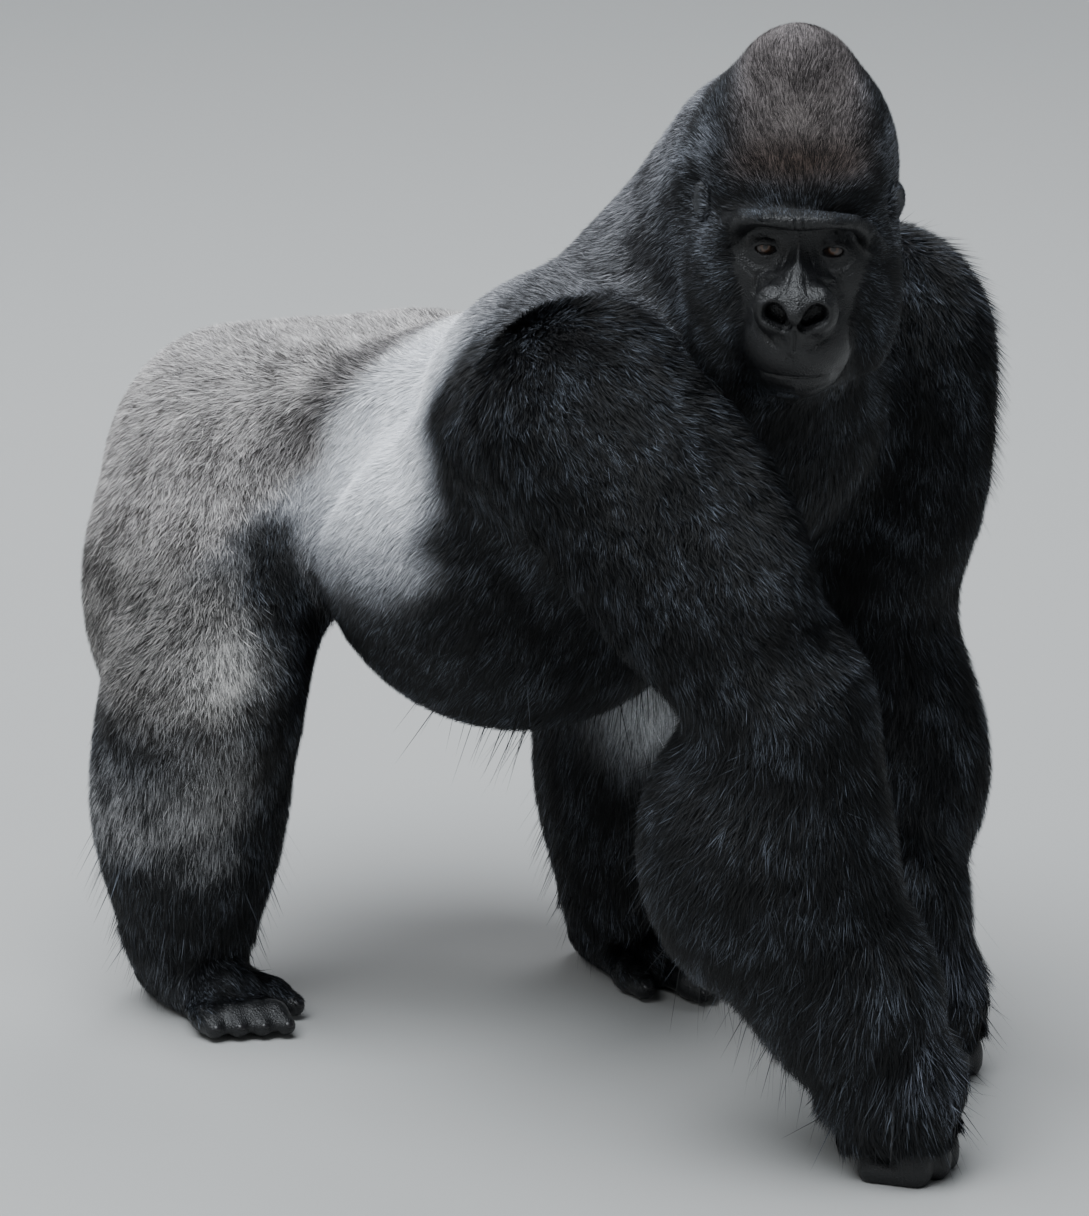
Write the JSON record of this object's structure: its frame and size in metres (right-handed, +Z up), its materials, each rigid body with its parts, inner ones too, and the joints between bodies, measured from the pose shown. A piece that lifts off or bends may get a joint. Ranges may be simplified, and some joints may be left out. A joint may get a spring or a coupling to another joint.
{
  "type": "gorilla",
  "caption": "Adult male gorilla standing on its knuckles and soles with its head turned to its right; high crest, heavy brow, silver saddle, black arms.",
  "frame": {"origin": "on the floor, under the middle of the whole animal", "axes": "+X towards the front of the trunk, +Y to the animal's left, +Z up"},
  "size_m": [1.2944, 0.7376, 1.2352],
  "materials": {
    "coat_black": "black hair with a faint blue-grey sheen",
    "coat_silver": "short silver-white hair",
    "coat_grey": "short brown-grey hair, darker down the legs",
    "coat_crown": "short dark rust-brown hair",
    "coat_nape": "short dark hair with grey tips",
    "skin_bare": "bare black skin, softly shining",
    "eye_brown": "wet brown eye"
  },
  "bodies": {
    "root": {"chest": "coat_black", "upper_arm_right": "coat_black", "upper_arm_left": "coat_black", "forearm_right": "coat_black", "forearm_left": "coat_black", "shank_right": "coat_black", "shank_left": "coat_black", "abdomen": "coat_silver", "pelvis": "coat_grey", "thigh_right": "coat_grey", "thigh_left": "coat_grey", "head": "coat_crown", "neck": "coat_nape", "face": "skin_bare", "jaw": "skin_bare", "ear_right": "skin_bare", "ear_left": "skin_bare", "hand_right": "skin_bare", "hand_left": "skin_bare", "foot_right": "skin_bare", "foot_left": "skin_bare", "eye_right": "eye_brown", "eye_left": "eye_brown"}
  },
  "joints": []
}
